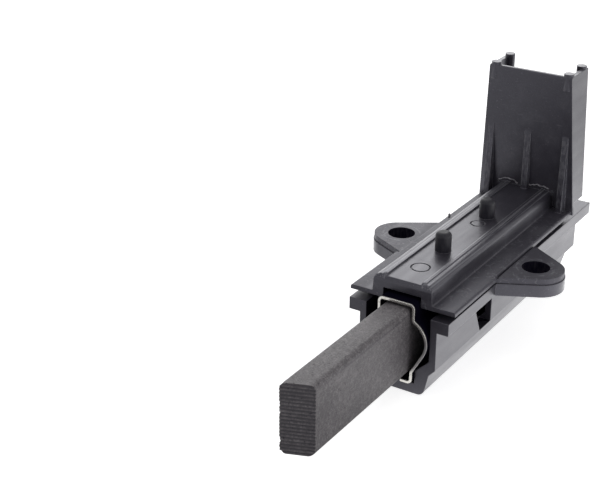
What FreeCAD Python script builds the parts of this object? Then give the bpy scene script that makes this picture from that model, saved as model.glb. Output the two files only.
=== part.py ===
import FreeCAD, Part
import math
import os

# Carbon brush of a washing machine motor, in its moulded two-part holder. All sizes in millimetres.
# X runs across the brush, Y runs along it from the mouth to the connector and Z is up.
# The origin is on the flat underside of the keel, below the line through the two screw holes.
# Every distance along Y is measured from the mouth face while a piece is drawn. place() then
# moves the piece so that the screw holes lie over Y = 0.

# Carbon block
BLOCK_WIDTH = 5.2
BLOCK_HEIGHT = 12.5
BLOCK_LENGTH = 40.0
BLOCK_REACH = 32.0
BLOCK_EDGE = 0.55
TIP_SETBACK = 2.0
GROOVE_PITCH = 0.625
GROOVE_DEPTH = 0.25

# Folded sheet guide round the block
SHEET = 0.45
SHEET_BEND = 0.7
SIDE_PLAY = 0.4
TOP_PLAY = 0.5
BOTTOM_PLAY = 1.1
GUIDE_PROUD = 0.8
HEM_LENGTH = 2.0
LOWER_NECK = 2.05
UPPER_NECK = 2.9
BULGE_REACH = 4.15
BULGE_RISE = 7.6
BULGE_RADIUS = 4.2

# Pressure spring and flexible lead behind the block
SPRING_DIAMETER = 9.0
SPRING_WIRE = 0.7
SPRING_TURNS = 16
STEPS_PER_TURN = 16
WIRE_SIDES = 6
LEAD_DIAMETER = 1.6

# Flat blade terminal
BLADE_WIDTH = 6.3
BLADE_THICKNESS = 0.8
BLADE_LENGTH = 13.6
BLADE_CHAMFER = 1.2
BLADE_HOLE_DIAMETER = 1.8
BLADE_HOLE_DROP = 4.2
BLADE_PLAY = 0.15
BLADE_SLOT_PLAY = 0.3

# Lower moulding: keel, side walls and top rails
FLOOR = 1.95
WALL = 1.2
FIT_GAP = 0.12
CAVITY_LENGTH = 54.6
CAVITY_FLARE = 2.5
KEEL_SIDE = 1.65
KEEL_LEAN = 0.95
KEEL_DROP = 0.15
KEEL_ROUNDING = 1.4
RIDGE_RISE = 1.25
RAIL_DROP = 2.25
RAIL_THICKNESS = 2.2
RAIL_LEDGE = 2.1
REAR_WALL = 1.6
STERN_LENGTH = 4.3
STERN_STEP = 1.2
STERN_ROUNDING = 3.5
STERN_POCKET_SIDE = 1.6
STERN_POCKET_FLOOR = 4.2

# Side windows with a ramped front edge
WINDOW_REAR = 21.4
WINDOW_LENGTH = 4.4
WINDOW_SLANT = 3.2
WINDOW_RAMP = 2.2
WINDOW_SILL = 0.1

# Screw ears
SCREW_LINE = 25.5
SCREW_SPACING = 26.9
SCREW_HOLE_DIAMETER = 5.0
EAR_RADIUS = 4.7
EAR_OFFSET = 0.55
EAR_FRONT_ROOT = 8.7
EAR_REAR_ROOT = 9.8
EAR_STEP = 0.55
EAR_SEAT_RISE = 0.1
EAR_INSET = 0.15
EAR_GROOVE_WIDTH = 0.2
EAR_GROOVE_DEPTH = 0.3

# Upper moulding: flange, raised hat with twin ribs, and pins
SHADOW_GAP = 1.0
SEAT_SETBACK = 2.5
SEAT_INSET = 1.6
FLANGE_THICKNESS = 0.8
FLANGE_OVERHANG = 0.05
FLANGE_FRONT_OVERHANG = 0.5
FLANGE_ROUNDING = 0.35
COVER_SETBACK = 1.15
HAT_HEADROOM = 0.65
HAT_SKIN = 2.05
HAT_WALL = 2.1
HAT_DRAFT = 0.25
HAT_ROUNDING = 1.1
HAT_FRONT_ROUNDING = 1.3
PANEL_HALF_WIDTH = 3.25
RIB_WIDTH = 0.8
RIB_HEIGHT = 0.32
VALLEY_WIDTH = 0.4
SHOULDER_RISE = 0.15
FOOT_FILLET = 0.3
EDGE_ROUNDING = 0.12
PIN_DIAMETER = 2.85
PIN_HEIGHT = 3.55
PIN_DOME = 0.75
PIN_PLACES = (15.7, 33.2)
MARK_PLACES = (7.5, 29.4)
MARK_DIAMETERS = (3.5, 2.7)
MARK_WIDTH = 0.25
MARK_DEPTH = 0.2

# Connector shroud at the rear
SHROUD_STANDOFF = 2.9
SHROUD_LEAN = 2.4
SHROUD_DEPTH = 4.8
SHROUD_REAR_LEAN = 0.75
SHROUD_HEIGHT = 24.2
SHROUD_OVERHANG = 0.35
SHROUD_TAPER = 1.6
SHROUD_WALL = 1.2
SHROUD_TOP_WALL = 0.85
SHROUD_ROUNDING = 0.4
DECK_RISE = 1.6
DECK_THICKNESS = 1.2
POST_RADIUS = 0.95
POST_RISE = 0.5
POST_LENGTH = 3.2
GUSSET_THICKNESS = 1.15
GUSSET_HEIGHT = 15.2
GUSSET_FOOT = 2.1
GUSSET_SPREAD = 7.6
MIDDLE_GUSSET_FOOT = 1.4

# Heights that follow, from the keel's underside upwards
GUIDE_BOTTOM = FLOOR + FIT_GAP
BLOCK_BOTTOM = GUIDE_BOTTOM + SHEET + BOTTOM_PLAY
BLOCK_TOP = BLOCK_BOTTOM + BLOCK_HEIGHT
AXIS_HEIGHT = BLOCK_BOTTOM + BLOCK_HEIGHT / 2
GUIDE_TOP = BLOCK_TOP + TOP_PLAY + SHEET
CHANNEL_TOP = GUIDE_BOTTOM + SHEET / 2 + LOWER_NECK
KEEL_TOP = CHANNEL_TOP - KEEL_DROP
RIDGE_HEIGHT = KEEL_TOP + RIDGE_RISE
RAIL_TOP = GUIDE_TOP - RAIL_DROP
RAIL_BOTTOM = RAIL_TOP - RAIL_THICKNESS
FLANGE_BOTTOM = RAIL_TOP + SHADOW_GAP
FLANGE_TOP = FLANGE_BOTTOM + FLANGE_THICKNESS
EAR_PARTING = RAIL_TOP + EAR_SEAT_RISE
EAR_TOP = FLANGE_TOP - EAR_STEP
HAT_CEILING = GUIDE_TOP + HAT_HEADROOM
HAT_TOP = HAT_CEILING + HAT_SKIN
DECK_BOTTOM = FLANGE_TOP + DECK_RISE
DECK_TOP = DECK_BOTTOM + DECK_THICKNESS
BLADE_TOP = DECK_TOP + BLADE_LENGTH
SHROUD_TOP = DECK_TOP + SHROUD_HEIGHT
GUSSET_TOP = FLANGE_TOP + GUSSET_HEIGHT

# Half widths that follow, from the middle outwards
NECK_HALF_WIDTH = BLOCK_WIDTH / 2 + SIDE_PLAY + SHEET / 2
CHANNEL_HALF_WIDTH = NECK_HALF_WIDTH + SHEET / 2 + FIT_GAP
KEEL_HALF_WIDTH = CHANNEL_HALF_WIDTH + KEEL_SIDE
HAT_FOOT_HALF_WIDTH = CHANNEL_HALF_WIDTH + HAT_WALL
HAT_HALF_WIDTH = HAT_FOOT_HALF_WIDTH - HAT_DRAFT

# Distances from the mouth that follow
BLOCK_REAR = BLOCK_LENGTH - BLOCK_REACH
BLADE_FRONT = CAVITY_LENGTH - BLADE_THICKNESS
GUIDE_REAR = BLADE_FRONT - FIT_GAP
SHROUD_FRONT = BLADE_FRONT - SHROUD_STANDOFF
SHROUD_REAR = SHROUD_FRONT + SHROUD_DEPTH
COVER_REAR = SHROUD_FRONT + SHROUD_WALL / 2
KEEL_LENGTH = CAVITY_LENGTH + STERN_LENGTH
WALL_LENGTH = KEEL_LENGTH + STERN_STEP
RAIL_LENGTH = WALL_LENGTH + STERN_STEP

# A cut reaches this far past the face that it opens, and shorter runs than TINY are left out
OVERCUT = 1.0
TINY = 1e-6


def vector(x, y, z):
    return FreeCAD.Vector(x, y, z)


def box(x, y, z):
    """A box given by its (low, high) pair along each axis."""
    corner = vector(x[0], y[0], z[0])
    return Part.makeBox(x[1] - x[0], y[1] - y[0], z[1] - z[0], corner)


def both_sides(shape):
    """A shape and its mirror image on the left."""
    return [shape, shape.mirror(vector(0, 0, 0), vector(1, 0, 0))]


def corner_arc(before, corner, after, radius):
    """Start, middle and end of the arc that rounds a corner, within its two straight runs."""
    inward = before - corner
    outward = after - corner
    room = min(inward.Length, outward.Length)
    inward.normalize()
    outward.normalize()
    half_angle = inward.getAngle(outward) / 2
    reach = min(radius / math.tan(half_angle), room)
    fitted = reach * math.tan(half_angle)
    middle = inward + outward
    middle.normalize()
    nearest = corner + middle * (fitted / math.sin(half_angle) - fitted)
    return corner + inward * reach, nearest, corner + outward * reach


def rounded_wire(points, radii, closed):
    """Straight runs between the points, with a tangent arc at each one that has a radius."""
    count = len(points)
    edges = []
    passed = []
    for index, point in enumerate(points):
        entry, middle, leave = point, None, point
        if radii[index] and (closed or 0 < index < count - 1):
            after = points[(index + 1) % count]
            entry, middle, leave = corner_arc(points[index - 1], point, after, radii[index])
        if passed and (entry - passed[-1]).Length > TINY:
            edges.append(Part.makeLine(passed[-1], entry))
        if middle:
            edges.append(Part.Arc(entry, middle, leave).toShape())
        passed += [entry, leave]
    if closed:
        edges.append(Part.makeLine(passed[-1], passed[0]))
    return Part.Wire(edges)


def polygon_face(points):
    return Part.Face(Part.makePolygon(points + points[:1]))


def symmetric_section(half, radii):
    """A face in the XZ plane from the (x, z) points of its right half, from one end to the other."""
    points = half + [(-x, z) for x, z in reversed(half)]
    corners = [vector(x, 0, z) for x, z in points]
    return Part.Face(rounded_wire(corners, radii + list(reversed(radii)), True))


def along(face, start, end):
    """A section drawn in the XZ plane, extruded along Y."""
    solid = face.extrude(vector(0, end - start, 0))
    solid.translate(vector(0, start, 0))
    return solid


def across(points, low_x, high_x):
    """A plate from the (y, z) points of its outline, extruded along X."""
    face = polygon_face([vector(low_x, y, z) for y, z in points])
    return face.extrude(vector(high_x - low_x, 0, 0))


def edge_rounder(y, z, inward_y, inward_z, radius):
    """What rounds off an edge that runs across the brush. The inward signs point into the body."""
    low_x = -SCREW_SPACING
    bend = radius * (1 - math.sqrt(0.5))
    corner = vector(low_x, y, z)
    on_face = vector(low_x, y, z + inward_z * radius)
    on_top = vector(low_x, y + inward_y * radius, z)
    middle = vector(low_x, y + inward_y * bend, z + inward_z * bend)
    arc = Part.Arc(on_top, middle, on_face).toShape()
    outline = Part.Wire([Part.makeLine(on_face, corner), Part.makeLine(corner, on_top), arc])
    return Part.Face(outline).extrude(vector(-2 * low_x, 0, 0))


def place(shape):
    """Moves a piece so that the screw holes lie over Y = 0."""
    return shape.translated(vector(0, -SCREW_LINE, 0))


def tip_line():
    """The tip's slanted line in plan: its foremost corner, and the way to its set-back corner."""
    foremost = vector(-BLOCK_WIDTH / 2, -BLOCK_REACH, BLOCK_BOTTOM)
    return foremost, vector(BLOCK_WIDTH, TIP_SETBACK, 0)


def tip_bevel():
    """What is ahead of the slanted contact face."""
    foremost, slant = tip_line()
    low = vector(0, 0, -OVERCUT)
    points = [
        foremost - slant + low,
        foremost + slant * 2 + low,
        foremost + vector(2 * BLOCK_WIDTH, -BLOCK_REACH, 0) + low,
        foremost - vector(BLOCK_WIDTH, BLOCK_REACH, 0) + low,
    ]
    return polygon_face(points).extrude(vector(0, 0, BLOCK_HEIGHT + 2 * OVERCUT))


def tip_grooves():
    """The V grooves of the contact face, as one toothed cutter."""
    foremost, slant = tip_line()
    inward = vector(-slant.y, slant.x, 0)
    inward.normalize()
    start = foremost - slant
    count = round(BLOCK_HEIGHT / GROOVE_PITCH)
    pitch = vector(0, 0, BLOCK_HEIGHT / count)
    points = [start - inward * OVERCUT]
    for index in range(count):
        points.append(start + pitch * index)
        points.append(start + pitch * (index + 0.5) + inward * GROOVE_DEPTH)
    points.append(start + pitch * count)
    points.append(start + pitch * count - inward * OVERCUT)
    return polygon_face(points).extrude(slant * 3)


def carbon_block():
    """The sliding carbon, with its bevelled and grooved contact face."""
    half_width = BLOCK_WIDTH / 2
    bar = box((-half_width, half_width), (-BLOCK_REACH, BLOCK_REAR), (BLOCK_BOTTOM, BLOCK_TOP))
    long_edges = [edge for edge in bar.Edges if edge.BoundBox.YLength > BLOCK_LENGTH / 2]
    bar = bar.makeChamfer(BLOCK_EDGE, long_edges)
    return bar.cut(tip_bevel()).cut(tip_grooves())


def guide_centreline():
    """The middle line of the folded sheet, from one hem under the block to the other."""
    low = GUIDE_BOTTOM + SHEET / 2
    high = GUIDE_TOP - SHEET / 2
    right = [
        (NECK_HALF_WIDTH - HEM_LENGTH, low),
        (NECK_HALF_WIDTH, low),
        (NECK_HALF_WIDTH, CHANNEL_TOP),
        (NECK_HALF_WIDTH + BULGE_REACH, CHANNEL_TOP + BULGE_RISE),
        (NECK_HALF_WIDTH, high - UPPER_NECK),
        (NECK_HALF_WIDTH, high),
    ]
    radii = [0, SHEET_BEND, SHEET_BEND, BULGE_RADIUS, SHEET_BEND, SHEET_BEND]
    points = right + [(-x, z) for x, z in reversed(right)]
    corners = [vector(x, 0, z) for x, z in points]
    return rounded_wire(corners, radii + list(reversed(radii)), False)


def guide_section():
    """The sheet's section: the space between its two faces, closed at the hems."""
    line = guide_centreline()
    faces = [line.makeOffset2D(side * SHEET / 2, 2, False, True, True) for side in (1, -1)]
    edges = faces[0].Edges + faces[1].Edges
    far_ends = [faces[1].OrderedVertexes[0].Point, faces[1].OrderedVertexes[-1].Point]
    for vertex in (faces[0].OrderedVertexes[0], faces[0].OrderedVertexes[-1]):
        nearest = min(far_ends, key=vertex.Point.distanceToPoint)
        edges.append(Part.makeLine(vertex.Point, nearest))
    return Part.Face(Part.Wire(Part.sortEdges(edges)[0]))


def cavity_half_width():
    """Half the width of the hollow that takes the guide's bulge."""
    return guide_centreline().BoundBox.XMax + SHEET / 2 + FIT_GAP


def wall_half_width():
    return cavity_half_width() + WALL


def rail_half_width():
    return wall_half_width() + RAIL_LEDGE


def flange_half_width():
    """How far the flange reaches beside and behind the ears."""
    return rail_half_width() + FLANGE_OVERHANG


def flange_front():
    """The wider part of the flange ahead of the ears."""
    half_width = rail_half_width() + FLANGE_FRONT_OVERHANG
    half = [(half_width, FLANGE_BOTTOM), (half_width, FLANGE_TOP)]
    section = symmetric_section(half, [0, FLANGE_ROUNDING])
    return along(section, COVER_SETBACK, SCREW_LINE - EAR_FRONT_ROOT)


def guide_sleeve():
    """The plated sheet guide that wraps the block, open below and windowed at the sides."""
    sleeve = along(guide_section(), -GUIDE_PROUD, GUIDE_REAR)
    window = box(
        (CHANNEL_HALF_WIDTH, wall_half_width()),
        (WINDOW_REAR - WINDOW_LENGTH, WINDOW_REAR),
        (RIDGE_HEIGHT + WALL, RAIL_BOTTOM - WALL),
    )
    return sleeve.cut(both_sides(window))


def wire_section(turned, distance):
    """The spring wire's section where the coil has turned by an angle, as a small polygon."""
    outward = vector(math.cos(turned), 0, math.sin(turned))
    forward = vector(0, 1, 0)
    middle = vector(0, distance, AXIS_HEIGHT) + outward * ((SPRING_DIAMETER - SPRING_WIRE) / 2)
    corners = []
    for side in range(WIRE_SIDES):
        angle = 2 * math.pi * side / WIRE_SIDES
        corners.append(middle + (outward * math.cos(angle) + forward * math.sin(angle)) * (SPRING_WIRE / 2))
    return Part.makePolygon(corners + corners[:1])


def pressure_spring():
    """The coil spring between the block and the foot of the terminal, turn by turn."""
    first = BLOCK_REAR + SPRING_WIRE / 2
    last = BLADE_FRONT - SPRING_WIRE / 2
    pitch = (last - first) / SPRING_TURNS
    sections = []
    for step in range(STEPS_PER_TURN + 1):
        share = step / STEPS_PER_TURN
        sections.append(wire_section(2 * math.pi * share, first + pitch * share))
    one_turn = Part.makeLoft(sections, False, True)
    faces = []
    for turn in range(SPRING_TURNS):
        faces += one_turn.translated(vector(0, pitch * turn, 0)).Faces
    wire_end = Part.Face(sections[0])
    faces += [wire_end, wire_end.translated(vector(0, last - first, 0))]
    shell = Part.Shell(faces)
    shell.sewShape()
    return Part.Solid(shell)


def shunt_lead():
    """The stranded lead, pulled straight from the block to the foot of the terminal."""
    start = vector(0, BLOCK_REAR, AXIS_HEIGHT)
    return Part.makeCylinder(LEAD_DIAMETER / 2, BLADE_FRONT - BLOCK_REAR, start, vector(0, 1, 0))


def terminal_tab():
    """The blade terminal, whose wide foot backs the spring and whose tab takes the receptacle."""
    foot_half = cavity_half_width() - BLADE_PLAY
    tab_half = BLADE_WIDTH / 2
    foot_bottom = CHANNEL_TOP + BLADE_PLAY
    foot_top = RAIL_TOP - BLADE_PLAY
    half = [
        (CHANNEL_HALF_WIDTH - BLADE_PLAY, foot_bottom),
        (foot_half, foot_bottom + CAVITY_FLARE + BLADE_PLAY),
        (foot_half, foot_top - BLADE_CHAMFER),
        (foot_half - BLADE_CHAMFER, foot_top),
        (tab_half, foot_top),
        (tab_half, BLADE_TOP - BLADE_CHAMFER),
        (tab_half - BLADE_CHAMFER / 2, BLADE_TOP),
    ]
    blade = along(symmetric_section(half, [0] * len(half)), BLADE_FRONT, CAVITY_LENGTH)
    hole_start = vector(0, BLADE_FRONT - OVERCUT, BLADE_TOP - BLADE_HOLE_DROP)
    hole_length = BLADE_THICKNESS + 2 * OVERCUT
    hole = Part.makeCylinder(BLADE_HOLE_DIAMETER / 2, hole_length, hole_start, vector(0, 1, 0))
    return blade.cut(hole)


def base_section():
    """The outer section of the lower moulding: keel, ridge, side wall and rail."""
    half = [
        (KEEL_HALF_WIDTH, 0),
        (KEEL_HALF_WIDTH + KEEL_LEAN, KEEL_TOP),
        (wall_half_width(), RIDGE_HEIGHT),
        (wall_half_width(), RAIL_BOTTOM),
        (rail_half_width(), RAIL_BOTTOM),
        (rail_half_width(), RAIL_TOP),
    ]
    return symmetric_section(half, [KEEL_ROUNDING] + [0] * (len(half) - 1))


def cavity_section():
    """The hollow that the guide lies in, open at the top."""
    half = [
        (CHANNEL_HALF_WIDTH, FLOOR),
        (CHANNEL_HALF_WIDTH, CHANNEL_TOP),
        (cavity_half_width(), CHANNEL_TOP + CAVITY_FLARE),
        (cavity_half_width(), RAIL_TOP + OVERCUT),
    ]
    return symmetric_section(half, [0] * len(half))


def stern_cuts():
    """What leaves the rails reaching furthest back, then the walls, then the rounded keel."""
    reach = SCREW_SPACING
    behind_walls = box((-reach, reach), (WALL_LENGTH, RAIL_LENGTH + OVERCUT), (-OVERCUT, RAIL_BOTTOM))
    behind_keel = box((-reach, reach), (KEEL_LENGTH, RAIL_LENGTH + OVERCUT), (-OVERCUT, RIDGE_HEIGHT))
    pocket_half = cavity_half_width() - STERN_POCKET_SIDE
    pocket = box(
        (-pocket_half, pocket_half),
        (CAVITY_LENGTH + REAR_WALL, RAIL_LENGTH + OVERCUT),
        (STERN_POCKET_FLOOR, RAIL_BOTTOM),
    )
    return [behind_walls, behind_keel, edge_rounder(KEEL_LENGTH, 0, -1, 1, STERN_ROUNDING), pocket]


def side_window():
    """The opening in the right wall, with its front edge ramped and slanted."""
    outlines = []
    levels = ((RIDGE_HEIGHT + WINDOW_SILL, 0), (RAIL_BOTTOM, WINDOW_SLANT))
    for height, slant in levels:
        front = WINDOW_REAR - WINDOW_LENGTH - slant
        points = [
            vector(wall_half_width(), front, height),
            vector(wall_half_width() + OVERCUT, front, height),
            vector(wall_half_width() + OVERCUT, WINDOW_REAR, height),
            vector(cavity_half_width() - OVERCUT, WINDOW_REAR, height),
            vector(cavity_half_width() - OVERCUT, front + WINDOW_RAMP, height),
        ]
        outlines.append(Part.makePolygon(points + points[:1]))
    return Part.makeLoft(outlines, True, True)


def ear_plate(low_z, high_z, inset):
    """The right screw ear between two levels: a round nose with two tangent flanks."""
    radius = EAR_RADIUS - inset
    centre = vector(SCREW_SPACING / 2 + EAR_OFFSET, SCREW_LINE, low_z)
    flanks = []
    for side, root_reach in ((-1, EAR_FRONT_ROOT), (1, EAR_REAR_ROOT)):
        root = vector(wall_half_width(), SCREW_LINE + side * (root_reach - inset), low_z)
        to_centre = centre - root
        lean = math.asin(radius / to_centre.Length)
        heading = math.atan2(to_centre.y, to_centre.x) + side * lean
        reach = math.sqrt(to_centre.Length ** 2 - radius ** 2)
        flanks.append((root, root + vector(math.cos(heading), math.sin(heading), 0) * reach))
    (front_root, front_touch), (rear_root, rear_touch) = flanks
    edges = [
        Part.makeLine(front_root, front_touch),
        Part.Arc(front_touch, centre + vector(radius, 0, 0), rear_touch).toShape(),
        Part.makeLine(rear_touch, rear_root),
        Part.makeLine(rear_root, front_root),
    ]
    return Part.Face(Part.Wire(edges)).extrude(vector(0, 0, high_z - low_z))


def ear_groove():
    """The narrow groove that parts the right ear from the flange's edge."""
    return box(
        (flange_half_width(), flange_half_width() + EAR_GROOVE_WIDTH),
        (SCREW_LINE - SCREW_SPACING, SCREW_LINE + SCREW_SPACING),
        (EAR_TOP - EAR_GROOVE_DEPTH, FLANGE_TOP + OVERCUT),
    )


def screw_hole():
    bottom = vector(SCREW_SPACING / 2, SCREW_LINE, RAIL_BOTTOM - OVERCUT)
    return Part.makeCylinder(SCREW_HOLE_DIAMETER / 2, FLANGE_TOP - RAIL_BOTTOM + 2 * OVERCUT, bottom)


def seat_clearance():
    """What keeps the space between the rail and the flange free, over the rail's whole width."""
    return box(
        (-rail_half_width(), rail_half_width()),
        (-OVERCUT, RAIL_LENGTH + OVERCUT),
        (RAIL_TOP, FLANGE_BOTTOM + OVERCUT),
    )


def holder_base():
    """The lower moulding: a keeled channel with top rails, side windows and half ears."""
    body = along(base_section(), 0, RAIL_LENGTH)
    body = body.fuse(both_sides(ear_plate(RAIL_BOTTOM, EAR_PARTING, 0)))
    cavity = along(cavity_section(), -OVERCUT, CAVITY_LENGTH)
    openings = both_sides(side_window()) + both_sides(screw_hole())
    return body.cut([cavity, seat_clearance()] + stern_cuts() + openings).removeSplitter()


def cover_section():
    """The upper moulding's outer section: flange, hat, twin ribs and the sunk panel."""
    rib_foot = PANEL_HALF_WIDTH + RIB_WIDTH
    valley = HAT_TOP - SHOULDER_RISE
    half = [
        (flange_half_width(), FLANGE_BOTTOM),
        (flange_half_width(), FLANGE_TOP),
        (HAT_FOOT_HALF_WIDTH, FLANGE_TOP),
        (HAT_HALF_WIDTH, HAT_TOP + SHOULDER_RISE),
        (rib_foot + VALLEY_WIDTH, HAT_TOP + SHOULDER_RISE),
        (rib_foot, valley + RIB_HEIGHT),
        (rib_foot, HAT_TOP + RIB_HEIGHT),
        (PANEL_HALF_WIDTH, HAT_TOP + RIB_HEIGHT),
        (PANEL_HALF_WIDTH, HAT_TOP),
    ]
    radii = [0, FLANGE_ROUNDING, FOOT_FILLET, HAT_ROUNDING, 0, 0, EDGE_ROUNDING, EDGE_ROUNDING, 0]
    return symmetric_section(half, radii)


def seat_strip():
    """The step under the flange that sits on the lower moulding's rail."""
    return box(
        (cavity_half_width(), rail_half_width() - SEAT_INSET),
        (COVER_SETBACK + SEAT_SETBACK, COVER_REAR),
        (RAIL_TOP, FLANGE_BOTTOM),
    )


def locating_pin(distance):
    """A round pin with a domed top, standing on the panel."""
    pin = Part.makeCylinder(PIN_DIAMETER / 2, PIN_HEIGHT, vector(0, distance, HAT_TOP))
    rim = [edge for edge in pin.Edges if edge.BoundBox.ZMin > HAT_TOP + PIN_HEIGHT / 2]
    return pin.makeFillet(PIN_DOME, rim)


def ejector_mark(distance, diameter):
    """The thin ring that a round ejector leaves in the panel."""
    bottom = vector(0, distance, HAT_TOP - MARK_DEPTH)
    height = MARK_DEPTH + RIB_HEIGHT
    outer = Part.makeCylinder(diameter / 2, height, bottom)
    return outer.cut(Part.makeCylinder(diameter / 2 - MARK_WIDTH, height, bottom))


def shroud_share(height):
    """How far up the shroud a height is, from 0 at the flange to 1 at the top."""
    return (height - FLANGE_TOP) / (SHROUD_TOP - FLANGE_TOP)


def shroud_front(height):
    """Where the shroud's forward-leaning face is at a height."""
    return SHROUD_FRONT - SHROUD_LEAN * shroud_share(height)


def shroud_rear(height):
    """Where the rear edges of the shroud's sides are at a height."""
    return SHROUD_REAR + SHROUD_REAR_LEAN * shroud_share(height)


def shroud_half_width(height):
    """How far the shroud's tapering side reaches at a height."""
    return flange_half_width() + SHROUD_OVERHANG - SHROUD_TAPER * shroud_share(height)


def shroud_block(levels, insets, past_rear):
    """A solid between two levels, each with its inset from the shroud's front and sides."""
    outlines = []
    for height, inset in zip(levels, insets):
        half = shroud_half_width(height) - inset
        front = shroud_front(height) + inset
        rear = shroud_rear(height) + past_rear
        points = [
            vector(-half, front, height),
            vector(half, front, height),
            vector(half, rear, height),
            vector(-half, rear, height),
        ]
        outlines.append(Part.makePolygon(points + points[:1]))
    return Part.makeLoft(outlines, True, True)


def gusset(middle_x, foot_height, foot_depth):
    """A slim rib that props the shroud's front face."""
    behind = SHROUD_WALL / 2
    outline = [
        (shroud_front(foot_height) - foot_depth, foot_height),
        (shroud_front(foot_height) + behind, foot_height),
        (shroud_front(GUSSET_TOP) + behind, GUSSET_TOP),
        (shroud_front(GUSSET_TOP), GUSSET_TOP),
    ]
    return across(outline, middle_x - GUSSET_THICKNESS / 2, middle_x + GUSSET_THICKNESS / 2)


def corner_post(distance):
    """A round post on the right side's top edge, flush with its outer face."""
    reach = shroud_half_width(SHROUD_TOP) - POST_RADIUS
    foot = vector(reach, distance, SHROUD_TOP + POST_RISE - POST_LENGTH)
    return Part.makeCylinder(POST_RADIUS, POST_LENGTH, foot)


def connector_shroud():
    """The tall shroud round the blade's front and sides, with its deck, gussets and posts."""
    outer = shroud_block((FLANGE_BOTTOM, SHROUD_TOP), (0, 0), 0)
    inner = shroud_block((DECK_TOP, SHROUD_TOP + OVERCUT), (SHROUD_WALL, SHROUD_TOP_WALL), OVERCUT)
    top_edge = edge_rounder(shroud_front(SHROUD_TOP), SHROUD_TOP, 1, -1, SHROUD_ROUNDING)
    below_deck = box(
        (-SCREW_SPACING, SCREW_SPACING),
        (COVER_REAR, SHROUD_REAR + OVERCUT),
        (FLANGE_BOTTOM - OVERCUT, DECK_BOTTOM),
    )
    posts = [
        corner_post(shroud_front(SHROUD_TOP) + POST_RADIUS),
        corner_post(shroud_rear(SHROUD_TOP) - POST_RADIUS),
    ]
    outer_gusset = gusset(GUSSET_SPREAD, FLANGE_BOTTOM, GUSSET_FOOT)
    middle_gusset = gusset(0, HAT_CEILING, MIDDLE_GUSSET_FOOT)
    added = [middle_gusset] + both_sides(outer_gusset)
    for post in posts:
        added += both_sides(post)
    return outer.cut([inner, below_deck, top_edge]).fuse(added)


def blade_slot():
    """The slot in the deck that the blade stands through."""
    half = BLADE_WIDTH / 2 + BLADE_SLOT_PLAY
    front_and_rear = (BLADE_FRONT - BLADE_SLOT_PLAY, CAVITY_LENGTH + BLADE_SLOT_PLAY)
    return box((-half, half), front_and_rear, (DECK_BOTTOM - OVERCUT, DECK_TOP + OVERCUT))


def holder_cover():
    """The upper moulding: flange, hat, pins, half ears and connector shroud."""
    hat = along(cover_section(), COVER_SETBACK, COVER_REAR)
    hat = hat.cut(edge_rounder(COVER_SETBACK, HAT_TOP + RIB_HEIGHT, 1, -1, HAT_FRONT_ROUNDING))
    pins = [locating_pin(distance) for distance in PIN_PLACES]
    ears = both_sides(ear_plate(EAR_PARTING, EAR_TOP, EAR_INSET).cut(ear_groove()))
    body = hat.fuse([flange_front(), connector_shroud()] + pins + ears + both_sides(seat_strip()))
    guide_channel = box(
        (-CHANNEL_HALF_WIDTH, CHANNEL_HALF_WIDTH),
        (COVER_SETBACK - OVERCUT, COVER_REAR),
        (FLANGE_BOTTOM - OVERCUT, HAT_CEILING),
    )
    marks = [ejector_mark(*mark) for mark in zip(MARK_PLACES, MARK_DIAMETERS)]
    cuts = [guide_channel, blade_slot()] + marks + both_sides(screw_hole())
    return body.cut(cuts).removeSplitter()


PIECES = {
    "holder_base": holder_base,
    "holder_cover": holder_cover,
    "guide_sleeve": guide_sleeve,
    "carbon_block": carbon_block,
    "pressure_spring": pressure_spring,
    "shunt_lead": shunt_lead,
    "terminal_tab": terminal_tab,
}

os.makedirs("parts", exist_ok=True)
for name, make in PIECES.items():
    piece = place(make())
    piece.exportStep("parts/" + name + ".step")
    size = piece.BoundBox
    print(name, "%d solid, %.1f mm3" % (len(piece.Solids), piece.Volume),
          "x %.2f to %.2f, y %.2f to %.2f," % (size.XMin, size.XMax, size.YMin, size.YMax),
          "z %.2f to %.2f" % (size.ZMin, size.ZMax))
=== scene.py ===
import math

import bmesh
import bpy
from bpy.props import FloatProperty, FloatVectorProperty, IntProperty, PointerProperty
from mathutils import Matrix, Vector, noise


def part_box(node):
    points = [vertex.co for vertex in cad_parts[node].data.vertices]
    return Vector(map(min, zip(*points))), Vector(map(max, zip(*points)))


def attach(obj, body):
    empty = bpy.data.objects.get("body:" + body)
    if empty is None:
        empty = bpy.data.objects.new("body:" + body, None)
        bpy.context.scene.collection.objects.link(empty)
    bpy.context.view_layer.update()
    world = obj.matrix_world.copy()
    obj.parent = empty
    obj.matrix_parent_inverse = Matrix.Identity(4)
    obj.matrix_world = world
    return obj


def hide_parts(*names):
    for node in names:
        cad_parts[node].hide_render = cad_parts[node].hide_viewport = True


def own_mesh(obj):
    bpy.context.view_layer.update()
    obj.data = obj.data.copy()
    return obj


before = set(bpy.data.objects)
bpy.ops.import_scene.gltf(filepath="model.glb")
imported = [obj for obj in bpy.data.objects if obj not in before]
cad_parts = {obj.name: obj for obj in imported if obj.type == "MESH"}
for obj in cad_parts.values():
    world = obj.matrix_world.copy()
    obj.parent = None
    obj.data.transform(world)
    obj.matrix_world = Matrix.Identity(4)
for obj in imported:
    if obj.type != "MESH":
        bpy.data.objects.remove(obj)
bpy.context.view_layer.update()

bl_info = {
    "name": "Motor Brush Looks",
    "version": (1, 0, 0),
    "blender": (4, 5, 0),
    "location": "View3D > Sidebar > Motor Brush",
    "description": "Dresses the motor brush and its moulded holder, and sets the stage for its photograph",
    "category": "Object",
}

MM = 0.001

# How far a face may lie off the round that it belongs to
FIT = 0.05 * MM

# Points nearer to each other than this are one point
WELD = 0.001 * MM

# A face is upright where its normal rises less than this
UPRIGHT = 0.5

# How far beside the guide a face still counts as part of its channel
CHANNEL_REACH = 0.35 * MM

# Edges that turn by less than this are shaded smooth
SMOOTH_TURN = math.radians(25)

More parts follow.
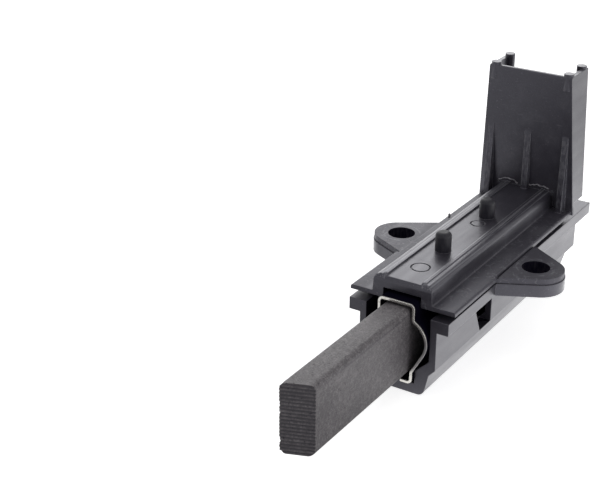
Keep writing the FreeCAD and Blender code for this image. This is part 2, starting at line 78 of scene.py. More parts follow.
# How far a rounded normal turns where an edge begins to show, and where it shows in full
EDGE_TURN = (0.01, 0.25)

HOLDER = "holder"

BLOCK_LOW, BLOCK_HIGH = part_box("carbon_block")
SPRING_LOW, SPRING_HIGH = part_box("pressure_spring")
LEAD_LOW, LEAD_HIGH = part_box("shunt_lead")
GUIDE_LOW, GUIDE_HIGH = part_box("guide_sleeve")
BLADE_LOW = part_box("terminal_tab")[0]
COVER_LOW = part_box("holder_cover")[0]
AXIS_HEIGHT = (LEAD_LOW.z + LEAD_HIGH.z) / 2


# Shader arithmetic

class Wire:
    """A shader socket that takes part in arithmetic. Each operator adds a Math node to its tree."""

    def __init__(self, tree, socket):
        self.tree = tree
        self.socket = socket

    def math(self, operation, *values):
        sockets = {index: value for index, value in enumerate((self,) + values)}
        return self.tree.add("ShaderNodeMath", {"operation": operation}, sockets)

    def __add__(self, other):
        return self.math("ADD", other)

    def __sub__(self, other):
        return self.math("SUBTRACT", other)

    def __rsub__(self, other):
        return self.tree.add("ShaderNodeMath", {"operation": "SUBTRACT"}, {0: other, 1: self})

    def __mul__(self, other):
        return self.math("MULTIPLY", other)

    def __pow__(self, other):
        return self.math("POWER", other)

    def __neg__(self):
        return self * -1

    def __abs__(self):
        return self.math("ABSOLUTE")

    __radd__ = __add__
    __rmul__ = __mul__

    def clamped(self):
        return self.math("MINIMUM", 1.0).math("MAXIMUM", 0.0)

    def swing(self, amount, middle=0.5):
        """How far a pattern lifts or lowers a value about its middle."""
        return (self - middle) * amount

    def between(self, low, high):
        """Rises smoothly from 0 at low to 1 at high."""
        smooth = {"interpolation_type": "SMOOTHSTEP"}
        return self.tree.add("ShaderNodeMapRange", smooth, {0: self, 1: low, 2: high, 3: 0.0, 4: 1.0})

    def band(self, rise, fall):
        """Rises from 0 to 1 across the first pair of values and falls back across the second."""
        return self.between(*rise) * (1 - self.between(*fall))


class Shader:
    """The node tree of a material or a world."""

    def __init__(self, owner):
        owner.use_nodes = True
        self.tree = owner.node_tree
        self.tree.nodes.clear()

    def node(self, kind, options, sockets):
        """Adds a node: its options first, then the values or links of its sockets."""
        node = self.tree.nodes.new(kind)
        for name, value in options.items():
            setattr(node, name, value)
        for key, value in sockets.items():
            if isinstance(value, Wire):
                self.tree.links.new(value.socket, node.inputs[key])
            else:
                node.inputs[key].default_value = value
        return node

    def add(self, kind, options, sockets, output=0):
        """Adds a node and gives back one of its outputs."""
        return Wire(self, self.node(kind, options, sockets).outputs[output])

    def mix(self, amount, first, second):
        """A colour between two colours."""
        return self.add("ShaderNodeMix", {"data_type": "RGBA"}, {0: amount, 6: first, 7: second}, 2)

    def ray(self, kind):
        """1 for rays of one kind, 0 for the others."""
        return self.add("ShaderNodeLightPath", {}, {}, kind)


class Finish(Shader):
    """A material under construction, with a few calls for what its patterns are made of."""

    def __init__(self, name):
        self.material = bpy.data.materials.new(name)
        super().__init__(self.material)
        self.place = self.add("ShaderNodeTexCoord", {}, {}, "Object")

    def stretched(self, across=1.0, along=1.0, up=1.0):
        """Object coordinates. A small scale across, along or up the brush draws a pattern out that way."""
        return self.add("ShaderNodeMapping", {}, {"Vector": self.place, "Scale": (across, along, up)})

    def noise(self, size, detail=2.0, **drawn):
        """Noise whose features are about this large, in metres, and may be drawn out."""
        place = self.stretched(**drawn) if drawn else self.place
        sockets = {"Vector": place, "Scale": 1 / size, "Detail": detail}
        return self.add("ShaderNodeTexNoise", {}, sockets, "Fac")

    def patches(self, size, low, high, detail=2.0, **drawn):
        """Patches that rise smoothly from 0 to 1 where noise lies between two levels."""
        return self.noise(size, detail, **drawn).between(low, high)

    def axis(self, name):
        """One coordinate of the piece, in metres."""
        return self.add("ShaderNodeSeparateXYZ", {}, {0: self.place}, name)

    def facing(self, name):
        """How far the surface faces along one axis of the piece, from -1 to 1."""
        normal = self.add("ShaderNodeNewGeometry", {}, {}, "True Normal")
        return self.add("ShaderNodeSeparateXYZ", {}, {0: normal}, name)

    def bump(self, height, depth, normal=None):
        """A bump whose height of 1 is this deep, in metres."""
        sockets = {"Height": height, "Distance": depth, "Strength": 1.0}
        if normal:
            sockets["Normal"] = normal
        return self.add("ShaderNodeBump", {}, sockets)

    def soft_edges(self, radius):
        """The normal of edges that are rounded by a radius."""
        return self.add("ShaderNodeBevel", {"samples": 6}, {"Radius": radius})

    def edge_share(self, rounded):
        """How near a point is to an edge, from the turn of its rounded normal."""
        flat = self.add("ShaderNodeNewGeometry", {}, {}, "True Normal")
        sockets = {0: flat, 1: rounded}
        turned = self.add("ShaderNodeVectorMath", {"operation": "DOT_PRODUCT"}, sockets, "Value")
        return (1 - turned).between(*EDGE_TURN)

    def finish(self, sockets):
        """Closes the tree with its one surface shader and returns the material."""
        surface = self.add("ShaderNodeBsdfPrincipled", {}, sockets)
        self.node("ShaderNodeOutputMaterial", {}, {"Surface": surface})
        return self.material


# Sizes and colours that a user would change

def measure(name, description, default):
    """A size in metres."""
    return FloatProperty(
        name=name, description=description, default=default, subtype="DISTANCE", unit="LENGTH", min=0)


def share(name, description, default):
    """An amount from 0 to 1."""
    return FloatProperty(name=name, description=description, default=default, min=0, max=1)


def tint(name, description, default):
    """A colour."""
    return FloatVectorProperty(
        name=name, description=description, default=default, subtype="COLOR", size=3, min=0, max=1)


def spot(name, description, default):
    """A place in metres."""
    return FloatVectorProperty(
        name=name, description=description, default=default, subtype="XYZ", unit="LENGTH", size=3)


def turn(name, description, degrees):
    """An angle."""
    return FloatProperty(
        name=name, description=description, default=math.radians(degrees), subtype="ANGLE", unit="ROTATION")


class HolderLook(bpy.types.PropertyGroup):
    """The moulded black plastic of the two holder halves."""

    colour: tint("Plastic colour", "Colour of the moulded plastic", (0.021, 0.019, 0.026))
    # Also the colour of the painted highlights on edges, gussets and ribs
    dust_and_highlight_colour: tint("Dust colour", "Colour of dust and rubbed spots on the plastic", (0.16, 0.16, 0.175))
    strained_colour: tint("Strained colour", "Colour of flash that was strained", (0.34, 0.33, 0.36))
    # Also the colour of the painted shade in the holes, in the channel and inside the guide
    soot_and_shade: tint("Soot colour", "Colour of carbon dust on the guide, holes and pins", (0.004, 0.0035, 0.009))
    gloss_tint: tint("Gloss tint", "Tint of what the plastic mirrors", (0.89, 0.885, 1.0))
    roughness: share("Roughness", "Roughness of clean moulded faces", 0.36)
    edge_radius: measure("Edge radius", "How far moulded edges are rounded", 0.2 * MM)
    hole_spacing: measure("Hole spacing", "Distance between the two screw holes", 26.9 * MM)
    hole_diameter: measure("Hole diameter", "Diameter of the screw holes", 5 * MM)
    washer_overlap: measure("Washer overlap", "How far the washers reached past the screw holes", 0.9 * MM)
    pin_places: FloatVectorProperty(
        name="Pin places", description="Where the two pins stand along the brush",
        default=(-9.8 * MM, 7.7 * MM), unit="LENGTH", size=2)
    pin_diameter: measure("Pin diameter", "Diameter of the pins", 2.85 * MM)
    hat_top: measure("Hat top", "Height of the hat's top face, on which the pins stand", 19.77 * MM)
    shroud_face: measure("Shroud face", "Where the shroud's front face meets the hat's top", 25.12 * MM)
    shroud_lean: share("Shroud lean", "How far the shroud leans forward for its height", 0.089)


class PlasticWearAndHighlights(bpy.types.PropertyGroup):
    """How far each kind of dirt, wear and painted highlight lightens the plastic or changes its roughness."""

    mottle: share("Mottle", "How far a soft mottle lightens the plastic", 0.20)
    speckle: share("Speckle", "How far a fine speckle lightens the plastic", 0.22)
    specks: share("Specks", "How far single specks lighten it", 0.55)
    scuffs: share("Scuffs", "How far scuffs lighten it", 0.25)
    # Painted highlight where the rounded edges catch the light
    edges: share("Edges", "How far rubbed edges are lighter", 0.45)
    washer_marks: share("Washer marks", "How far the rings round the screw holes are lighter", 0.5)
    scratches: share("Scratches", "How far hair scratches are lighter", 0.35)
    # Painted highlight on the gussets, in mottled patches
    gussets: share("Gussets", "How far rubbed spots on the gussets are lighter", 0.3)
    # Painted highlight streaks along the hat's ribs and shoulders
    rib_highlights: share("Drawn ribs", "How far the drawn lines on the hat's ribs are lighter", 0.6)
    flow_roughness: share("Flow roughness", "How far flow lines change the roughness", 0.22)
    mottle_roughness: share("Mottle roughness", "How far the mottle changes the roughness", 0.16)
    scuff_roughness: share("Scuff roughness", "How far scuffs roughen the plastic", 0.15)
    eroded_roughness: share("Eroded roughness", "How far the ears are rougher than the rest", 0.16)


class CarbonLook(bpy.types.PropertyGroup):
    """The pressed and ground carbon."""

    colour: tint("Carbon colour", "Colour of the ground sides", (0.072, 0.066, 0.072))
    grain_colour: tint("Grain colour", "Colour of the lighter graphite grains", (0.27, 0.25, 0.26))
    # Also the colour of the painted shade on the contact face and below the upper rounding
    pit_and_shade_colour: tint("Dark colour", "Colour of pits and of the grooved tip", (0.022, 0.018, 0.026))
    grain_size: measure("Grain size", "Size of the pressed grains", 0.26 * MM)
    grains: share("Grains", "How far the grains lighten the carbon", 0.42)
    clumps: share("Clumps", "How far clumps of grains lighten it", 0.24)
    grinding: share("Grinding lines", "How far the grinding lines lighten it", 0.12)
    clouds: share("Clouds", "How far large soft clouds change its lightness", 0.35)
    pits: share("Pits", "How far the pits are darker", 0.6)
    # Darkens the whole contact face: its wear, and painted shade
    tip_wear_and_shade: share("Worn tip", "How far the ridges of the contact face are darker", 0.3)
    # Painted shade in the grooves between the ridges
    groove_shade: share("Worn grooves", "How much darker still the grooves between them are", 0.55)
    # Painted shade along the line below the upper rounding, and its uneven streaks
    rounding_shade: share("Run-out", "How far the line below the rounding is darker", 0.25)
    rounding_shade_streaks: share("Run-out streaks", "How much darker still its streaks are", 0.4)
    roughness: share("Roughness", "Roughness of the ground sides", 0.56)
    grain_roughness: share("Grain roughness", "How far the grains change the roughness", 0.3)
    pit_roughness: share("Pit roughness", "How far the pits are rougher", 0.2)
    rounding: measure("Rounding", "Radius of the block's four long edges", 1.0 * MM)
    rounding_steps: IntProperty(
        name="Rounding steps", description="Faces across each rounded edge", default=5, min=1)
    setback: measure("Setback", "How far the contact face falls back across the block", 2.0 * MM)
    ridges: IntProperty(name="Ridges", description="Level ridges of the contact face", default=20, min=1)
    ridge_depth: measure("Ridge depth", "Depth of the grooves between the ridges", 0.25 * MM)
    ridge_length: measure("Ridge length", "How far behind the contact face the ridges end", 1.2 * MM)
    crumbled: measure("Crumbled", "How far the contact face's edge has crumbled", 0.7 * MM)
    crumb_size: measure("Crumb size", "Size of the crumbled spots", 1.3 * MM)


class MetalLook(bpy.types.PropertyGroup):
    """The plated guide and blade, the spring's wire and the lead's copper."""

    plating: tint("Plating colour", "Colour of the guide's tin plating", (0.78, 0.765, 0.725))
    blade: tint("Blade colour", "Colour of the blade's older, duller tin", (0.50, 0.49, 0.46))
    tarnish: tint("Tarnish colour", "Colour of dulled spots", (0.36, 0.34, 0.30))
    # Colour of a painted darker reflection on the guide's bulge
    dulled: tint("Dulled colour", "Colour of the plating on the guide's bulge", (0.25, 0.24, 0.25))
    steel: tint("Steel colour", "Colour of the spring wire", (0.56, 0.56, 0.57))
    copper: tint("Copper colour", "Colour of the lead's strands", (0.80, 0.42, 0.27))
    spots: share("Spots", "How far the spots are tarnished", 0.7)
    lines: share("Lines", "How far the drawn lines are tarnished", 0.12)
    spot_roughness: share("Spot roughness", "How far the spots are rougher", 0.22)
    line_roughness: share("Line roughness", "How far the drawn lines change the roughness", 0.16)
    # Painted darker reflection on the guide's bulge
    bulge: share("Bulge", "How far the guide's bulge is dulled", 0.85)
    # Painted highlight along the bulge's edges
    bulge_edge_highlight: share("Bulge edges", "How much less the bulge's edges are dulled", 0.5)
    bulge_roughness: share("Bulge roughness", "How far the guide's bulge is rougher", 0.15)
    soot_roughness: share("Soot roughness", "How far the sooty guide is rougher", 0.6)


class FlashSize(bpy.types.PropertyGroup):
    """The thin leftovers of the moulding."""

    steps: IntProperty(name="Steps", description="Straight runs in each ridge of flash", default=14, min=2)
    wobble: measure("Wobble", "How unevenly the flash runs", 0.35 * MM)
    wave: measure("Wave", "Length of the flash's uneven waves", 0.7 * MM)
    root: measure("Root", "Where the flash is rooted in the shroud, along the brush", 25.2 * MM)
    reach: measure("Reach", "Width of the flash, from its root to its free edge", 0.45 * MM)
    thickness: measure("Thickness", "Thickness of the flash", 0.12 * MM)
    stub_place: spot("Stub place", "Middle of the stub on the flange", (-9.05 * MM, 10.7 * MM, 16.8 * MM))
    stub_radius: measure("Stub radius", "Radius of the stub at its foot", 0.28 * MM)
    stub_taper: share("Stub taper", "Width of the stub's top as a share of its foot", 0.7)
    stub_height: measure("Stub height", "Height of the stub", 0.65 * MM)


class SpringSize(bpy.types.PropertyGroup):
    """The pressure spring."""

    wire: measure("Wire", "Diameter of the spring wire", 0.7 * MM)
    turns: IntProperty(name="Turns", description="Turns of the spring", default=16, min=1)


class LeadSize(bpy.types.PropertyGroup):
    """The stranded lead."""

    strands: IntProperty(name="Strands", description="Bundles twisted round the middle one", default=6, min=3)
    twist: measure("Twist", "Length of one turn of a bundle", 9 * MM)
    pressed: share("Pressed", "How far the middle bundle presses into the others, in bundle radii", 0.4)


class StageLook(bpy.types.PropertyGroup):
    """The photograph's camera, floor and lamps."""

    azimuth: turn("Azimuth", "Where the camera stands round the brush", 32.79)
    elevation: turn("Elevation", "How far the camera looks down", 24.58)
    roll: turn("Roll", "How far the camera leans to its right", 0.16)
    stand: spot("Camera stand", "Where the camera is", (92.1 * MM, -198.7 * MM, 117.1 * MM))
    sensor: FloatProperty(name="Sensor", description="Width of the camera's sensor in mm", default=36, min=1)
    lens: FloatProperty(name="Lens", description="Focal length in mm", default=79.4, min=1)
    paper: tint("Paper colour", "Colour of the floor", (0.86, 0.86, 0.865))
    fibre: tint("Fibre colour", "Colour of the floor's fibres", (0.8, 0.8, 0.8))
    floor_glow: share("Floor glow", "Light of the floor that the camera sees", 0.72)
    floor_gloss: FloatProperty(
        name="Floor gloss", description="Light of the floor behind the brush in its glossy faces",
        default=1.4, min=0)
    far_fade: share("Far fade", "How far the floor gloss fades away from the brush", 0.65)
    front_gloss: share("Front gloss", "Light of the floor before the brush in its glossy faces", 0.25)
    far_front_gloss: share("Far front gloss", "How much more the floor far before the brush gives", 0.4)
    surround: share("Surround", "Light of the surround on the brush", 0.48)
    mirrored_surround: share("Mirrored surround", "Light of the surround in glossy faces", 0.8)


class BrushSettings(bpy.types.PropertyGroup):
    """All settings of the motor brush."""

    holder: PointerProperty(type=HolderLook, name="Holder", description="Moulded plastic")
    # Also holds the painted highlights of the plastic
    wear: PointerProperty(type=PlasticWearAndHighlights, name="Wear", description="Dirt and wear of the plastic")
    carbon: PointerProperty(type=CarbonLook, name="Carbon", description="Sliding block")
    metal: PointerProperty(type=MetalLook, name="Metal", description="Guide, blade, spring and lead")
    flash: PointerProperty(type=FlashSize, name="Flash", description="Leftovers of the moulding")
    spring: PointerProperty(type=SpringSize, name="Spring", description="Pressure spring")
    lead: PointerProperty(type=LeadSize, name="Lead", description="Stranded lead")
    stage: PointerProperty(type=StageLook, name="Stage", description="Camera, floor and lamps")


def settings():
    return bpy.context.scene.motor_brush


def opaque(colour):
    return (*colour, 1.0)


# Finishes

def washer_marks(made, look):
    """Broken rings that washers rubbed into the ears round the screw holes."""
    sideways = abs(made.axis("X")) - look.hole_spacing / 2
    lengthwise = made.axis("Y")
    from_middle = (sideways * sideways + lengthwise * lengthwise) ** 0.5
    rim = look.hole_diameter / 2 + look.washer_overlap
    ring = from_middle.band(rise=(rim - 0.25 * MM, rim), fall=(rim, rim + 0.3 * MM))
    return ring * made.patches(size=1.5 * MM, detail=3.0, low=0.48, high=0.60)


def rib_highlights(made, look):
    """Fine painted highlight streaks along the hat's ribs and shoulders."""
    height = made.axis("Z") - look.hat_top
    shoulders = abs(made.axis("X")).band(rise=(3.1 * MM, 3.3 * MM), fall=(5.8 * MM, 6.2 * MM))
    near_hat_top = height.band(rise=(-0.6 * MM, -0.3 * MM), fall=(0.4 * MM, 0.5 * MM))
    drawn = made.patches(size=0.24 * MM, detail=3.0, low=0.50, high=0.58, along=0.006)
    return shoulders * near_hat_top * drawn


def gusset_highlights(made, look):
    """Mottled painted highlights on the gussets, which stand proud of the shroud's leaning front face."""
    height = made.axis("Z") - look.hat_top
    proud = height * -look.shroud_lean + look.shroud_face - made.axis("Y")
    gusset = proud.band(rise=(0.06 * MM, 0.14 * MM), fall=(2.2 * MM, 2.4 * MM))
    below_posts = 1 - height.between(11.5 * MM, 12.3 * MM)
    beside_hat = abs(made.axis("X")).between(6.4 * MM, 6.5 * MM)
    above_hat = height.between(0.6 * MM, 0.8 * MM)
    above_flange = height.between(-2.4 * MM, -2.2 * MM) * beside_hat
    mottled = made.patches(size=0.45 * MM, detail=4.0, low=0.42, high=0.62, up=0.35)
    return gusset * below_posts * above_hat.math("MAXIMUM", above_flange) * mottled


def hair_scratches(made):
    """Thin wavy scratches, which run where a soft noise crosses its middle."""
    off_middle = abs(made.noise(size=2.2 * MM, detail=3.0) - 0.5)
    hair = 1 - off_middle.between(0.008, 0.03)
    return hair * made.patches(size=1.3 * MM, low=0.46, high=0.58)


def moulded_plastic():
    """Black moulded plastic: flow lines along the brush, fine grain, dust and wear, and painted highlights on
    its edges, gussets and ribs.
    """
    look = settings().holder
    wear = settings().wear
    made = Finish("moulded_plastic")
    ears = made.axis("Z").band(rise=(14.8 * MM, 14.9 * MM), fall=(17.0 * MM, 17.6 * MM))
    scratches = hair_scratches(made) * ears
    mottle = made.noise(size=6 * MM, detail=3.0)
    flow = made.noise(size=1.0 * MM, detail=3.0, along=0.06, up=0.6)
    grain = made.noise(size=0.09 * MM)
    speckle = made.noise(size=0.3 * MM)
    specks = made.patches(size=0.28 * MM, detail=1.0, low=0.70, high=0.80)
    scuffs = made.patches(size=0.8 * MM, detail=4.0, low=0.62, high=0.80, across=0.25)
    rounded = made.soft_edges(look.edge_radius)
    # Washer marks and scratches are real wear; the gussets, the ribs and the rounded edges get painted
    # highlights
    rubbed = (washer_marks(made, look) * ears * wear.washer_marks + scratches * wear.scratches
              + gusset_highlights(made, look) * wear.gussets + rib_highlights(made, look) * wear.rib_highlights
              + made.edge_share(rounded) * wear.edges)
    # Besides dust and wear, this mask carries the painted highlights
    dust = (mottle.between(0.45, 0.85) * wear.mottle + speckle.swing(wear.speckle, middle=0.45)
            + specks * wear.specks + scuffs * wear.scuffs + rubbed).clamped()
    roughness = (flow.swing(wear.flow_roughness) + mottle.swing(wear.mottle_roughness)
                 + scuffs * wear.scuff_roughness + ears * wear.eroded_roughness + look.roughness).clamped()
    relief = grain * 0.5 + flow * 0.5 - scratches * 2.0
    return made.finish({
        "Base Color": made.mix(dust, opaque(look.colour), opaque(look.dust_and_highlight_colour)),
        "Roughness": roughness,
        "Normal": made.bump(relief, depth=0.012 * MM, normal=rounded),
        "Specular IOR Level": 0.62,
        "Specular Tint": opaque(look.gloss_tint),
        "IOR": 1.55,
    })


def dull_plastic(name, gloss, roughness):
    """The plastic of screw holes, the channel and the pins: dull, with upright tool marks and darker patches.
    In the holes this darkening is painted shade, in the channel painted shade and carbon dust.
    """
    look = settings().holder
    made = Finish(name)
    # Its darker patches are painted shade in the holes and the channel
    dirt = made.noise(size=0.4 * MM, detail=3.0, up=0.2)
    return made.finish({
        "Base Color": made.mix(dirt.between(0.4, 0.8), opaque(look.soot_and_shade), opaque(look.colour)),
        "Roughness": (dirt * 0.3 + roughness).clamped(),
        "Normal": made.bump(dirt, depth=0.02 * MM, normal=made.soft_edges(look.edge_radius)),
        "Specular IOR Level": gloss,
    })


def strained_plastic():
    """Flash and stubs of the same plastic, paler where they were strained."""
    look = settings().holder
    made = Finish("strained_plastic")
    strain = made.patches(size=0.4 * MM, detail=3.0, low=0.30, high=0.65)
    return made.finish({
        "Base Color": made.mix(strain * 0.7 + 0.3, opaque(look.colour), opaque(look.strained_colour)),
        "Roughness": (strain * 0.2 + 0.4).clamped(),
        "Normal": made.bump(strain, depth=0.02 * MM),
    })


def contact_plane(look):
    """The slanted contact face: its foremost corner, and the way into the block square to it."""
    corner = Vector((BLOCK_LOW.x, BLOCK_LOW.y, 0))
    inward = Vector((-look.setback, BLOCK_HIGH.x - BLOCK_LOW.x, 0)).normalized()
    return corner, inward


def contact_wear_and_shade(made, look):
    """How dark the contact face is: worn darker, with painted shade over all of it and more painted shade in
    its grooves than on its ridges.
    """
    corner, inward = contact_plane(look)
    depth = made.axis("X") * inward.x + made.axis("Y") * inward.y - corner.dot(inward)
    return depth.between(0.02 * MM, 0.2 * MM) * look.groove_shade + look.tip_wear_and_shade


def rounding_shade_line(made, look, clumps):
    """An uneven painted shade line along the block where its upper rounding ends."""
    below_rounding = made.axis("Z") - (BLOCK_HIGH.z - look.rounding) + clumps.swing(0.9 * MM)
    line = 1 - abs(below_rounding).between(0.08 * MM, 0.26 * MM)
    streaks = made.patches(size=1.6 * MM, detail=4.0, low=0.42, high=0.58, along=0.15)
    return line * (streaks * look.rounding_shade_streaks + look.rounding_shade)


def ground_carbon():
    """Pressed carbon with ground sides: grains, grinding lines along the block and dark pits."""
    look = settings().carbon
    made = Finish("ground_carbon")
    grains = made.noise(size=look.grain_size, detail=4.0)
    clumps = made.noise(size=0.8 * MM, detail=4.0)
    clouds = made.noise(size=5 * MM, detail=3.0)
    grinding = made.noise(size=0.35 * MM, detail=3.0, along=0.05)
    pits = made.patches(size=0.3 * MM, detail=1.0, low=0.62, high=0.74)
    light = (grains.between(0.46, 0.66) * look.grains + clumps.between(0.42, 0.68) * look.clumps
             + grinding.between(0.45, 0.75) * look.grinding + clouds.swing(look.clouds)).clamped()
    # The contact face and the line below the upper rounding get painted shade
    contact = (-made.facing("Y")).between(0.45, 0.65)
    dark = (pits * look.pits + contact * contact_wear_and_shade(made, look)
            + rounding_shade_line(made, look, clumps) * (1 - contact)).clamped()
    ground = made.mix(light, opaque(look.colour), opaque(look.grain_colour))
    roughness = grains.swing(look.grain_roughness) + pits * look.pit_roughness + look.roughness
    relief = grains * 0.6 + clumps * 0.3 + grinding * 0.3 - pits * 0.6
    return made.finish({
        "Base Color": made.mix(dark, ground, opaque(look.pit_and_shade_colour)),
        "Roughness": roughness.clamped(),
        "Normal": made.bump(relief, depth=0.045 * MM, normal=made.soft_edges(0.12 * MM)),
        "Specular IOR Level": 0.5,
    })


def drawn_metal(made, colour, roughness, **drawn):
    """The sockets of plated or drawn metal, with dulled spots and lines drawn out along the named axes."""
    look = settings().metal
    lines = made.noise(size=0.12 * MM, detail=3.0, **drawn)
    spots = made.patches(size=0.9 * MM, detail=4.0, low=0.50, high=0.78)
    dimples = made.noise(size=0.35 * MM)
    tarnished = (spots * look.spots + lines * look.lines).clamped()
    relief = lines * 0.4 + dimples * 0.6
    return {
        "Base Color": made.mix(tarnished, opaque(colour), opaque(look.tarnish)),
        "Specular IOR Level": 0.01,
        "Metallic": 1.0,
        "Roughness": (spots * look.spot_roughness + lines.swing(look.line_roughness) + roughness).clamped(),
        "Normal": made.bump(relief, depth=0.012 * MM, normal=made.soft_edges(0.15 * MM)),
    }


def bright_metal(name, colour, roughness, **drawn):
    """Clean plated or drawn metal."""
    made = Finish(name)
    return made.finish(drawn_metal(made, colour, roughness, **drawn))


def shaded_sooty_plating():
    """The guide's plating: bright on the rim, with a painted darker reflection on its bulge and painted
    highlights at the bulge's edges, and black inside the holder with painted shade and carbon dust.
    """
    look = settings().metal
    made = Finish("guide_plating")
    sockets = drawn_metal(made, look.plating, roughness=0.22, along=0.08)
    height = (made.axis("Z") - GUIDE_LOW.z) * (1 / (GUIDE_HIGH.z - GUIDE_LOW.z))
    bulge = height.band(rise=(0.12, 0.22), fall=(0.58, 0.68))
    # The bulge gets a painted darker reflection, left lighter at its edges as a painted highlight
    edges = made.edge_share(made.soft_edges(0.08 * MM))
    dulled = bulge * (look.bulge - edges * look.bulge_edge_highlight)
    # Black behind the rim: painted shade inside the holder, with carbon dust
    behind_rim = made.axis("Y") - (GUIDE_LOW.y + 0.05 * MM)
    soot_and_shade = behind_rim.between(0, 0.25 * MM)
    plated = made.mix(dulled, sockets["Base Color"], opaque(look.dulled))
    sockets["Base Color"] = made.mix(soot_and_shade, plated, opaque(settings().holder.soot_and_shade))
    sockets["Roughness"] = (
        sockets["Roughness"] + dulled * look.bulge_roughness + soot_and_shade * look.soot_roughness).clamped()
    sockets["Metallic"] = 1 - behind_rim.between(0.2 * MM, 0.35 * MM)
    return made.finish(sockets)


def cover_with(node_name, material):
    """Gives a CAD node a material all over."""
    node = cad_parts[node_name]
    node.data.materials.clear()
    node.data.materials.append(material)
    for polygon in node.data.polygons:
        polygon.material_index = 0


def in_hole(polygon):
    """Whether a face is part of the wall of a screw hole."""
    look = settings().holder
    from_middle = math.hypot(abs(polygon.center.x) - look.hole_spacing / 2, polygon.center.y)
    return from_middle < look.hole_diameter / 2 + FIT and abs(polygon.normal.z) < UPRIGHT


def on_pin(polygon):
    """Whether a face is part of a pin."""
    look = settings().holder
    nearest = min(math.hypot(polygon.center.x, polygon.center.y - place) for place in look.pin_places)
    return nearest < look.pin_diameter / 2 + FIT and polygon.center.z > look.hat_top + FIT


def in_channel(polygon):
    """Whether a face is part of the channel round the guide, which is blackened with painted shade and the
    carbon's dust.
    """
    to_middle = Vector((0, polygon.center.y, AXIS_HEIGHT)) - polygon.center
    return (to_middle.dot(polygon.normal) > 0
            and abs(polygon.center.x) < GUIDE_HIGH.x + CHANNEL_REACH
            and GUIDE_LOW.z - CHANNEL_REACH < polygon.center.z < GUIDE_HIGH.z + CHANNEL_REACH
            and COVER_LOW.y + FIT < polygon.center.y < BLADE_LOW.y)


def finish_apart(node_name, chosen, material):
    """Gives the chosen faces of a CAD node their own material."""
    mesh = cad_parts[node_name].data
    mesh.materials.append(material)
    for polygon in mesh.polygons:
        if chosen(polygon):
            polygon.material_index = len(mesh.materials) - 1


def new_piece(name, bm, material, smooth=True, body=HOLDER):
    """Turns a bmesh into a piece of a body with its material."""
    bmesh.ops.recalc_face_normals(bm, faces=bm.faces)
    mesh = bpy.data.meshes.new(name)
    bm.to_mesh(mesh)
    bm.free()
    for polygon in mesh.polygons:
        polygon.use_smooth = smooth
    mesh.materials.append(material)
    piece = bpy.data.objects.new(name, mesh)
    bpy.context.scene.collection.objects.link(piece)
    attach(piece, body)
    return piece


class HolderOperator(bpy.types.Operator):
    """Gives both moulded halves their plastic, dulls their holes, their channel and the pins, and paints
    shade into the holes and the channel
    """

    bl_idname = "motor_brush.dress_holder"
    bl_label = "Dress Holder"

    def execute(self, context):
        plastic = moulded_plastic()
        # This material paints shade into the holes and the channel
        shaded_bore = dull_plastic("dull_shaded_bore", gloss=0.02, roughness=0.6)
        for half in ("holder_base", "holder_cover"):
            cover_with(half, plastic)
            finish_apart(half, in_hole, shaded_bore)
            finish_apart(half, in_channel, shaded_bore)
        finish_apart("holder_cover", on_pin, dull_plastic("dull_pin", gloss=0.4, roughness=0.4))
        return {"FINISHED"}


# Moulding flash

# Where each ridge of flash starts and ends across the shroud, its foot and how far its middle rises
FLASH_RIDGES = (
    {"start": -5.65 * MM, "end": -1.6 * MM, "foot": 20.3 * MM, "rise": 0.6 * MM},
    {"start": 0.7 * MM, "end": 4.85 * MM, "foot": 20.55 * MM, "rise": 0.25 * MM},
)


def flash_ridge(bm, size, start, end, foot, rise):
    """A thin wavy ridge on the shroud's front face."""
    line = []
    for step in range(size.steps + 1):
        passed = step / size.steps
        across = start + (end - start) * passed
        wobble = size.wobble * noise.noise((across / size.wave, 0, 0))
        height = foot + rise * math.sin(math.pi * passed) + wobble
        line.append(bm.verts.new((across, size.root, height)))
    edges = [bm.edges.new(ends) for ends in zip(line, line[1:])]
    grown = bmesh.ops.extrude_edge_only(bm, edges=edges)
    tips = [item for item in grown["geom"] if isinstance(item, bmesh.types.BMVert)]
    bmesh.ops.translate(bm, verts=tips, vec=(0, -size.reach, 0))
    faces = list({face for vertex in tips for face in vertex.link_faces})
    bmesh.ops.solidify(bm, geom=faces, thickness=size.thickness)


class FlashOperator(bpy.types.Operator):
    """Leaves the moulding flash on the shroud above the hat, and a stub on the flange"""

    bl_idname = "motor_brush.leave_flash"
    bl_label = "Leave Flash"

    def execute(self, context):
        size = settings().flash
        bm = bmesh.new()
        for ridge in FLASH_RIDGES:
            flash_ridge(bm, size, **ridge)
        bmesh.ops.create_cone(
            bm, cap_ends=True, segments=8, radius1=size.stub_radius,
            radius2=size.stub_radius * size.stub_taper, depth=size.stub_height,
            matrix=Matrix.Translation(size.stub_place))
        new_piece("moulding_flash", bm, strained_plastic(), smooth=False)
        return {"FINISHED"}


# Carbon block

def cut_along(bm, point, normal, drop_below=False):
    """Cuts the whole piece along a plane, and gives back the new edges."""
    everything = bm.verts[:] + bm.edges[:] + bm.faces[:]
    cut = bmesh.ops.bisect_plane(
        bm, geom=everything, plane_co=point, plane_no=normal, clear_inner=drop_below)
    return [item for item in cut["geom_cut"] if isinstance(item, bmesh.types.BMEdge)]


def rounded_bar(bm, look):
    """A bar as large as the block, with its four long edges rounded."""
    size = BLOCK_HIGH - BLOCK_LOW
    place = Matrix.Translation((BLOCK_LOW + BLOCK_HIGH) / 2) @ Matrix.Diagonal((*size, 1))
    bmesh.ops.create_cube(bm, size=1, matrix=place)
    long_edges = [edge for edge in bm.edges
                  if abs(edge.verts[0].co.y - edge.verts[1].co.y) > size.y / 2]
    bmesh.ops.bevel(
        bm, geom=long_edges, offset=look.rounding, affect="EDGES", segments=look.rounding_steps,
        profile=0.5, material=-1)


